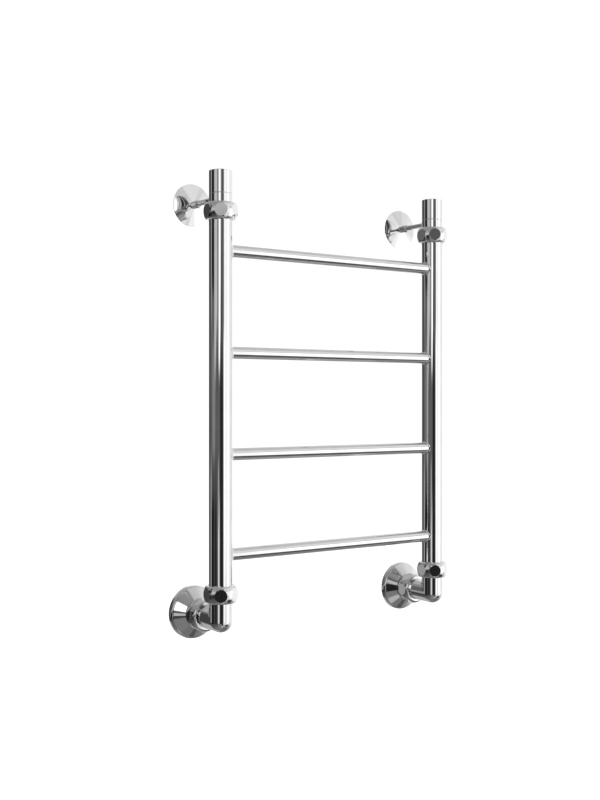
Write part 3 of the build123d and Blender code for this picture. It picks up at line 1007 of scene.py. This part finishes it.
    def lay_crook(self, ring: list[bmesh.types.BMVert], radius: float, path: float) -> None:
        """Lays a ring of points round the upright leg near the bend, where its inner side is filleted.

        Args:
            ring: the ring's points.
            radius: the leg's radius.
            path: how far along the skin the ring lies from the plane where the legs meet.
        """
        for vert in ring:
            depth = math.sqrt(max(0.0, radius**2 - vert.co.x**2))
            if vert.co.y <= 0:
                vert.co = Vector((vert.co.x, -depth, path))
                continue
            fillet = self.bend_fillet * depth / radius
            curved = fillet * QUARTER / 2
            if path < curved:
                angle = QUARTER / 2 - path / fillet
                over = fillet * (1 - math.cos(angle))
                vert.co = Vector((vert.co.x, depth + over, depth + fillet * (1 - math.sin(angle))))
            else:
                vert.co = Vector((vert.co.x, depth, depth + fillet + path - curved))

    def wall_union(self) -> None:
        """Builds the turned union with its pipe thread."""
        node = f"wall_union_{self.side}"
        low, high = (Vector(corner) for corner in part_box(node))
        length = high.y - low.y
        wall = -low.y
        mouth = self.chamber
        flange = self.flange_length
        rows = round((length - wall) / self.thread_pitch * self.thread_rows_per_turn)
        outline = Outline(mouth, 0).line((self.flange, 0), (self.flange, flange - self.flange_round))
        outline.line((self.flange - self.flange_round, flange), (self.body, flange), (self.body, wall))
        outline.line((self.outlet, wall)).rows(self.outlet, length, rows)
        outline.line((self.bore, length), (self.bore, flange - self.roof), (mouth, flange - self.roof))
        bm = outline.closed().turned(softness=0)
        for vert in bm.verts:
            radius = math.hypot(vert.co.x, vert.co.y)
            if vert.co.z > wall + MERGE and abs(radius - self.outlet) < MERGE:
                turn = math.atan2(vert.co.y, vert.co.x) / FULL_TURN
                phase = (vert.co.z - wall) / self.thread_pitch - turn
                groove = abs(2 * (phase - math.floor(phase)) - 1)
                ends = min(vert.co.z - wall, length - vert.co.z) / self.thread_fade
                lean = 1 - self.thread_depth * groove * min(1, ends) / radius
                lean -= self.thread_depth * max(0, 1 - (length - vert.co.z) / self.thread_fade) / radius
                vert.co.x *= lean
                vert.co.y *= lean
        stood(bm, "turned", node, TURNED_CHROME, Way.TO_WALL, smooth=THREAD_SHARP)

    def rosette(self) -> None:
        """Builds the rosette: a rim, a rounded band and a straight cone with a rolled neck."""
        node = f"rosette_{self.side}"
        rim = round(extent(node).x / 2 / MM) * MM
        depth = extent(node).y
        band = rim - self.rosette_lean
        sheet = self.rosette_sheet
        outline = Outline(rim - sheet, 0).line((rim, 0), (rim, self.rosette_rim))
        drop = self.rosette_band - self.rosette_rim
        for part in range(1, self.rosette_rows + 1):
            angle = QUARTER * part / self.rosette_rows
            inward = self.rosette_lean * (1 - math.cos(angle))
            outline.line((rim - inward, self.rosette_rim + drop * math.sin(angle) ** self.rosette_bulge))
        slope = (depth - self.rosette_band) / (band - self.rosette_neck)
        outline.line((self.rosette_neck + self.neck_round, depth - self.neck_round * slope))
        outline.line((self.rosette_neck, depth), (self.rosette_hole, depth))
        outline.line((self.rosette_hole, depth - sheet))
        outline.line((self.rosette_neck - self.neck_inset, depth - sheet))
        outline.line((band - self.band_inset, self.rosette_band - self.band_drop))
        outline.line((rim - sheet, self.rosette_rim))
        bm = outline.closed().turned()
        stood(bm, "spun", node, SPUN_CHROME, Way.TO_ROOM)


@dataclass
class VentPlug:
    """The plug at a collector's top, with its bleed valve and pull-off cap.

    Args:
        side: left or right.
        chamber: the radius of the hollow in the plug's foot.
        flange: the radius of the threaded foot.
        flange_length: the foot's length.
        flange_round: its edge's rounding.
        ring_length: the length of the plain ring above it.
        seam: the chamfer on each side of the seam between ring and cap.
        stem: the radius of the stem inside the cap.
        groove_height: the height of the O-ring's groove above the seam.
        groove_half: half of the groove's width.
        groove_floor: the radius of its floor.
        roof: the thickness above the hollow.
        bleed: the radius of the air hole.
        valve_bore: the radius of the bleed valve's bore.
        seat_depth: how far below the stem's top the valve's seat ends.
        seat_cone: the height of the seat's cone.
        cap_wall: the cap's wall.
        cap_top: the thickness of its top.
        cap_round: the rounding of its upper edge.
    """

    side: str
    chamber: float = 14 * MM
    flange: float = 19.2 * MM
    flange_length: float = 15 * MM
    flange_round: float = 0.8 * MM
    ring_length: float = 12.5 * MM
    seam: float = 0.4 * MM
    stem: float = 15.4 * MM
    groove_height: float = 12 * MM
    groove_half: float = 1.05 * MM
    groove_floor: float = 13.45 * MM
    roof: float = 3 * MM
    bleed: float = 1.5 * MM
    valve_bore: float = 4.05 * MM
    seat_depth: float = 13 * MM
    seat_cone: float = 2.5 * MM
    cap_wall: float = 1.5 * MM
    cap_top: float = 2 * MM
    cap_round: float = 1 * MM

    def build(self) -> None:
        """Builds the side's pieces."""
        self.plug()
        self.cap()
        refined(f"cap_o_ring_{self.side}", SEAL_RUBBER)
        refined(f"bleed_needle_{self.side}", BRASS)
        refined(f"needle_ring_{self.side}", SEAL_RUBBER)
        refined(f"bleed_nozzle_{self.side}", ACETAL)

    def plug(self) -> None:
        """Builds the plug."""
        node = f"vent_plug_{self.side}"
        radius = extent(f"vent_cap_{self.side}").x / 2
        seam = self.flange_length + self.ring_length
        top = extent(node).z
        seat = top - self.seat_depth
        groove = seam + self.groove_height
        outline = Outline(self.chamber, 0).line((self.flange, 0))
        outline.line((self.flange, self.flange_length - self.flange_round))
        outline.line((self.flange - self.flange_round, self.flange_length), (radius, self.flange_length))
        outline.line((radius, seam - self.seam), (radius - self.seam, seam), (self.stem, seam))
        outline.line((self.stem, groove - self.groove_half), (self.groove_floor, groove - self.groove_half))
        outline.line((self.groove_floor, groove + self.groove_half), (self.stem, groove + self.groove_half))
        outline.line((self.stem, top), (self.valve_bore, top), (self.valve_bore, seat + self.seat_cone))
        outline.line((self.bleed, seat), (self.bleed, self.flange_length - self.roof))
        outline.line((self.chamber, self.flange_length - self.roof))
        bm = outline.closed().turned()
        stood(bm, "turned", node, TURNED_CHROME)

    def cap(self) -> None:
        """Builds the cap."""
        node = f"vent_cap_{self.side}"
        radius = extent(node).x / 2
        top = extent(node).z
        inner = radius - self.cap_wall
        outline = Outline(0, top - self.cap_top).line((inner, top - self.cap_top), (inner, 0))
        outline.line((radius - self.seam, 0), (radius, self.seam))
        outline.arc((radius - self.cap_round, top - self.cap_round), self.cap_round, 0, 90, 8)
        outline.line((0, top))
        bm = outline.turned()
        stood(bm, "turned", node, TURNED_CHROME)


@dataclass
class Bracket:
    """The telescopic bracket at one side's top.

    Args:
        side: left or right.
        rod_chamfer: the chamfer on the rod's ends.
        sleeve_chamfer: the chamfer on the sleeve's open end.
        sleeve_bore: the radius of the bore that the rod slides in.
        bolt_bore: the radius of the bore for the hanger bolt.
        bore_depth: how deep the rod's bore is.
        cone_rim: the length of the cone's straight rim.
        cone_sheet: the thickness of its sheet.
        cone_hole: the radius of its hole for the sleeve.
        cone_neck: how wide the sheet's turned edge is at the hole.
        cone_softness: how much its edges are rounded.
    """

    side: str
    rod_chamfer: float = 0.8 * MM
    sleeve_chamfer: float = 1 * MM
    sleeve_bore: float = 4.1 * MM
    bolt_bore: float = 2.55 * MM
    bore_depth: float = 15 * MM
    cone_rim: float = 1 * MM
    cone_sheet: float = 1.2 * MM
    cone_hole: float = 5.85 * MM
    cone_neck: float = 1 * MM
    cone_softness: float = 0.1 * MM

    def build(self) -> None:
        """Builds the side's pieces."""
        self.rod()
        self.sleeve()
        self.cone()
        refined(f"grub_screw_{self.side}", ZINC)
        refined(f"hanger_bolt_{self.side}", ZINC, Way.TO_WALL)
        refined(f"wall_plug_{self.side}", NYLON, Way.TO_WALL)

    def rod(self) -> None:
        """Builds the rod."""
        node = f"bracket_rod_{self.side}"
        radius = extent(node).x / 2
        length = extent(node).y
        edge = self.rod_chamfer
        outline = Outline(0, 0).line((radius - edge, 0), (radius, edge), (radius, length - edge))
        outline.line((radius - edge, length), (0, length))
        bm = outline.turned(SMALL_STEPS)
        stood(bm, "turned", node, TURNED_CHROME, Way.TO_ROOM)

    def sleeve(self) -> None:
        """Builds the sleeve."""
        node = f"bracket_sleeve_{self.side}"
        radius = extent(node).x / 2
        length = extent(node).y
        edge = self.sleeve_chamfer
        step = length - self.bore_depth
        outline = Outline(self.bolt_bore, 0).line((radius, 0), (radius, length - edge))
        outline.line((radius - edge, length))
        outline.line((self.sleeve_bore, length), (self.sleeve_bore, step), (self.bolt_bore, step))
        bm = outline.closed().turned(SMALL_STEPS)
        stood(bm, "turned", node, TURNED_CHROME, Way.TO_ROOM)

    def cone(self) -> None:
        """Builds the shallow cone on the wall."""
        node = f"bracket_cone_{self.side}"
        rim = extent(node).x / 2
        depth = extent(node).y
        mouth = self.cone_hole + self.cone_neck
        slope = (rim - mouth) / (depth - self.cone_rim)
        outline = Outline(rim - self.cone_sheet * slope, 0).line((rim, 0), (rim, self.cone_rim))
        outline.line((mouth, depth), (self.cone_hole, depth))
        outline.line((self.cone_hole, depth - self.cone_sheet - self.cone_neck / slope))
        bm = outline.closed().turned(softness=self.cone_softness)
        stood(bm, "spun", node, SPUN_CHROME, Way.TO_ROOM)


@dataclass(frozen=True)
class Card:
    """A sheet of one tone that hangs round the object, as the chrome sees it.

    Directions are in degrees: round from the room's side towards +X, and up from the horizon.

    Args:
        name: what it stands for in the room.
        left: where it starts, round.
        right: where it ends, round.
        low: where it starts, up.
        high: where it ends, up.
        tone: how light it looks, from 0 to 1.
        soft: how wide its edges are.
    """

    name: str
    left: float
    right: float
    low: float
    high: float
    tone: float
    soft: float = 3.0

    def paint(self, graph: Graph, round_way: Input, up_way: Input, under: Input) -> bpy.types.NodeSocket:
        """Paints the card over what is behind it.

        Args:
            graph: the world's tree.
            round_way: the direction round.
            up_way: the direction up.
            under: the tone behind the card.

        Returns:
            The tone with the card in front.
        """
        across = self.cover(graph, round_way, self.left, self.right)
        upward = self.cover(graph, up_way, self.low, self.high)
        return graph.blend(under, self.tone, graph.math("MULTIPLY", across, upward))

    def cover(self, graph: Graph, way: Input, start: float, end: float) -> bpy.types.NodeSocket:
        """Measures how much of the card covers a direction, one way.

        Args:
            graph: the world's tree.
            way: the direction.
            start: where the card starts.
            end: where the card ends.

        Returns:
            The cover, from 0 to 1.
        """
        off = graph.math("ABSOLUTE", graph.math("SUBTRACT", way, (start + end) / 2))
        half = (end - start) / 2
        edge = self.soft / 2
        made = graph.node("MapRange", {"interpolation_type": "SMOOTHSTEP"}, Value=off)
        graph.feed(made.inputs["From Min"], half + edge)
        graph.feed(made.inputs["From Max"], half - edge)
        return made.outputs["Result"]


ROOM_TONES = (
    (-90, 0.45),
    (-60, 0.43),
    (-45, 0.35),
    (-30, 0.31),
    (-20, 0.24),
    (-10, 0.22),
    (-5, 0.27),
    (-2, 0.36),
    (1, 0.38),
    (5, 0.37),
    (12, 0.34),
    (20, 0.36),
    (29, 0.52),
    (60, 0.56),
    (75, 0.60),
    (90, 0.62),
)
WINDOW_TONES = (
    (-90, 0.45),
    (-68, 0.42),
    (-50, 0.50),
    (-38, 0.66),
    (-28, 0.80),
    (-19, 0.93),
    (-8, 0.96),
    (12, 0.95),
    (22, 0.88),
    (38, 0.86),
    (50, 0.76),
    (75, 0.64),
    (90, 0.62),
)

WINDOW_SIDE = Card("window side", -4.5, 250, -90, 90, 1.0, 3)
CARDS = (
    Card("pale wall behind", 160, 210, -70, 70, 0.66, 10),
    Card("pale wall behind, other side", -210, -160, -70, 70, 0.66, 10),
    Card("dim corner behind", -200, -157, -24, 20, 0.26, 4),
    Card("door frame", -157, -146, -20, 17, 0.26, 3),
    Card("pale door, lower part", -146, -128, -16, -3, 0.58),
    Card("pale door, edge", -146, -136, 7, 16, 0.38),
    Card("pale door, upper part", -136, -126, 4, 22, 0.58),
    Card("black cabinet, lower part", -127, -97, -23, -5.5, 0.09, 2),
    Card("black cabinet, grey strip", -113, -99, -19, -6, 0.16, 2),
    Card("black cabinet, upper part", -124, -97, 6, 20, 0.08, 2),
    Card("black cabinet, upper strip", -109, -98, 6, 19, 0.21, 2),
    Card("picture above the cabinet", -122, -107, 17, 34, 0.50, 4),
    Card("lamp stand", -106, -95, 20, 33, 0.20, 4),
    Card("cabinet top", -118, -86, -3, 3, 0.49, 2),
    Card("sideboard, left door", -96, -87, -17, -5, 0.28, 2),
    Card("sideboard, gap", -86, -75, -17, -5.5, 0.13, 2),
    Card("sideboard, right door", -64, -56, -20, -3.5, 0.40, 2),
    Card("curtain", -96, -64, 1.5, 33, 0.60, 3),
    Card("sunlit curtain", -94, -65, 2, 18, 0.72, 3),
    Card("curtain fold", -63, -55, 1.5, 17, 0.45, 2),
    Card("curtain hem", -75, -56, 0, 3.5, 0.31, 3),
    Card("balcony door, low pane", -56, -46, -21, -3.5, 0.86, 2),
    Card("balcony door, low frame", -56, -46, -6.5, -3, 0.60, 2),
    Card("balcony door, low edge", -46, -40, -14, -5, 0.70, 2),
    Card("balcony door, rail", -56, -37, -3, 1, 0.36, 2),
    Card("balcony door, high left pane", -54, -45, 1.5, 27, 0.80, 2),
    Card("balcony door, high pane", -46, -34, 1.5, 27, 1.10, 2),
    Card("balcony door, high edge", -34, -26, 5.5, 17, 0.72, 2),
    Card("seat", -62, -22, -75, -22, 0.46, 8),
    Card("dark chair", -37, -14, -21, 3, 0.15, 2),
    Card("dark chair, back", -29, -18, 1.5, 9, 0.28, 5),
    Card("dark chair, leg", -22, -5, -38, -25, 0.20, 4),
    Card("grey chair", -14, -5, -22, 1.5, 0.25, 2),
    Card("rug", -24, 2, -60, -42, 0.68, 6),
    Card("window post", -6, 2.5, 3.5, 27, 0.55, 2),
    Card("window, left pane", 5, 14, -11, 15, 1.06),
    Card("window, middle post", 14, 24, -22, -9, 0.80, 4),
    Card("window, right pane", 33, 57, -22, 14, 1.12, 4),
    Card("window, top rail", 30, 48, 17, 27, 0.80, 5),
    Card("window, blind", -1, 19, 18, 35, 0.78, 4),
    Card("window, far panel", 61, 84, -14, 11, 0.895, 3),
    Card("shelf below the window", 22, 61, -47, -31, 0.24, 6),
    Card("shelf, far end", 56, 66, -25, -15, 0.60, 5),
    Card("box under the shelf", 48, 76, -73, -54, 0.32, 6),
)


@dataclass
class Studio:
    """The camera, the floor and the light round the object.

    Args:
        yaw: how far the camera is turned from looking straight at the wall, in degrees.
        lens: its focal length, in millimetres.
        sensor: its sensor's width, in millimetres.
        from_middle: where the camera is, from the point midway between the water outlets.
        floor_drop: how far below the object the floor lies.
        floor_size: the floor's width and depth.
        chrome_gain: how bright the room is in the chrome.
        diffuse_light: how bright it is on dull pieces.
        backdrop_light: how bright it is to the camera.
        floor_glow: how much light the floor gives of its own.
        lamp_power: the overhead light's power, in watts.
        lamp_size: its width and depth.
        lamp_place: where it hangs.
        tone_power: the power that turns a card's tone into light.
    """

    yaw: float = 35.07
    lens: float = 49.33
    sensor: float = 36.0
    from_middle: Vector = Vector((-1.0011, -1.4192, 0.3126))
    floor_drop: float = 0.42
    floor_size: float = 14.0
    chrome_gain: float = 1.1
    diffuse_light: float = 0.72
    backdrop_light: float = 1.12
    floor_glow: float = 0.46
    lamp_power: float = 45.0
    lamp_size: float = 5.0
    lamp_place: Vector = Vector((0, -0.6, 3.4))
    tone_power: float = 2.2

    def build(self) -> None:
        """Builds the camera, the floor and the light."""
        self.camera()
        self.floor()
        self.light()
        self.surroundings()
        view = bpy.context.scene.view_settings
        view.view_transform = "Standard"
        view.look = "None"

    def camera(self) -> None:
        """Sets the camera level, to the left of the object."""
        lens = bpy.data.cameras.new("camera")
        lens.lens = self.lens
        lens.sensor_width = self.sensor
        camera = bpy.data.objects.new("camera", lens)
        camera.location = self.from_middle
        camera.rotation_euler = (QUARTER, 0, -math.radians(self.yaw))
        bpy.context.scene.collection.objects.link(camera)
        bpy.context.scene.camera = camera

    def floor(self) -> None:
        """Lays a plain pale floor well below the object, which hangs on a wall."""
        bm = bmesh.new()
        bmesh.ops.create_grid(bm, x_segments=4, y_segments=4, size=self.floor_size / 2)
        bm.transform(Matrix.Translation((0, 0, CAD_BOX[0].z - self.floor_drop)))
        data = bpy.data.meshes.new("floor")
        bm.to_mesh(data)
        bm.free()
        material = bpy.data.materials.new("pale_floor")
        material.use_nodes = True
        graph = Graph(material.node_tree)
        place = graph.node("TexCoord").outputs["Object"]
        cloud = graph.noise(place, 3.0, 4.0)
        shader = graph.node("BsdfPrincipled", Base_Color=(0.93, 0.93, 0.925, 1.0))
        shader.inputs["Emission Color"].default_value = (1, 1, 1, 1)
        shader.inputs["Emission Strength"].default_value = self.floor_glow
        graph.feed(shader.inputs["Roughness"], graph.spread(cloud, 0.3, 0.7, 0.8, 0.9))
        graph.node("OutputMaterial", Surface=shader.outputs[0])
        data.materials.append(material)
        floor = bpy.data.objects.new("floor", data)
        floor.visible_glossy = False
        bpy.context.scene.collection.objects.link(floor)

    def light(self) -> None:
        """Hangs a broad soft light over the object, which the chrome doesn't show."""
        lamp = bpy.data.lights.new("overhead", "AREA")
        lamp.shape = "SQUARE"
        lamp.size = self.lamp_size
        lamp.energy = self.lamp_power
        light = bpy.data.objects.new("overhead", lamp)
        light.location = self.lamp_place
        light.visible_glossy = False
        bpy.context.scene.collection.objects.link(light)

    def surroundings(self) -> None:
        """Sets the room round the object: plain white to the camera, windows and furniture to the chrome."""
        world = bpy.data.worlds.new("studio")
        bpy.context.scene.world = world
        world.use_nodes = True
        graph = Graph(world.node_tree)
        parts = graph.node("SeparateXYZ", Vector=graph.node("TexCoord").outputs["Generated"]).outputs
        back = graph.math("MULTIPLY", parts[1], -1.0)
        round_way = graph.math("DEGREES", graph.math("ARCTAN2", parts[0], back))
        up_way = graph.math("DEGREES", graph.math("ARCSINE", parts[2]))
        window = WINDOW_SIDE.cover(graph, round_way, WINDOW_SIDE.left, WINDOW_SIDE.right)
        dim = self.tones(graph, up_way, ROOM_TONES)
        tone = graph.blend(dim, self.tones(graph, up_way, WINDOW_TONES), window)
        for card in CARDS:
            tone = card.paint(graph, round_way, up_way, tone)
        light = graph.math("MULTIPLY", graph.math("POWER", tone, self.tone_power), self.chrome_gain)
        rays = graph.node("LightPath").outputs
        plainly = graph.math("MAXIMUM", rays["Is Camera Ray"], rays["Is Diffuse Ray"])
        room = graph.node("Background", Color=(1, 1, 1, 1), Strength=light)
        soft_white = graph.spread(rays["Is Camera Ray"], 0, 1, self.diffuse_light, self.backdrop_light)
        plain = graph.node("Background", Color=(1, 1, 1, 1), Strength=soft_white)
        mix = graph.node("MixShader", Fac=plainly)
        graph.feed(mix.inputs[1], room.outputs[0])
        graph.feed(mix.inputs[2], plain.outputs[0])
        graph.node("OutputWorld", Surface=mix.outputs[0])

    def tones(
        self, graph: Graph, up_way: Input, steps: tuple[tuple[float, float], ...]
    ) -> bpy.types.NodeSocket:
        """Makes a tone that changes with the direction up.

        Args:
            graph: the world's tree.
            up_way: the direction up, in degrees.
            steps: (degrees, tone), from the floor to the ceiling.

        Returns:
            The tone.
        """
        ramp = graph.node("ValToRGB", Fac=graph.spread(up_way, -90, 90, 0.0, 1.0))
        elements = ramp.color_ramp.elements
        while len(elements) < len(steps):
            elements.new(0.5)
        for element, (height, _) in zip(elements, steps):
            element.position = (height + 90) / 180
        for element, (_, tone) in zip(elements, steps):
            element.color = (tone, tone, tone, 1)
        return ramp.outputs[0]


def main() -> None:
    """Builds the object and the studio."""
    logging.basicConfig(level=logging.INFO, format="%(name)s: %(message)s")
    Ladder().build()
    UnionJoint("top", Way.UP).build()
    UnionJoint("bottom", Way.DOWN).build()
    UnionJoint("wall", Way.TO_WALL).build()
    for side in SIDES:
        WallElbow(side).build()
        VentPlug(side).build()
        Bracket(side).build()
    Studio().build()


if __name__ == "__main__":
    main()
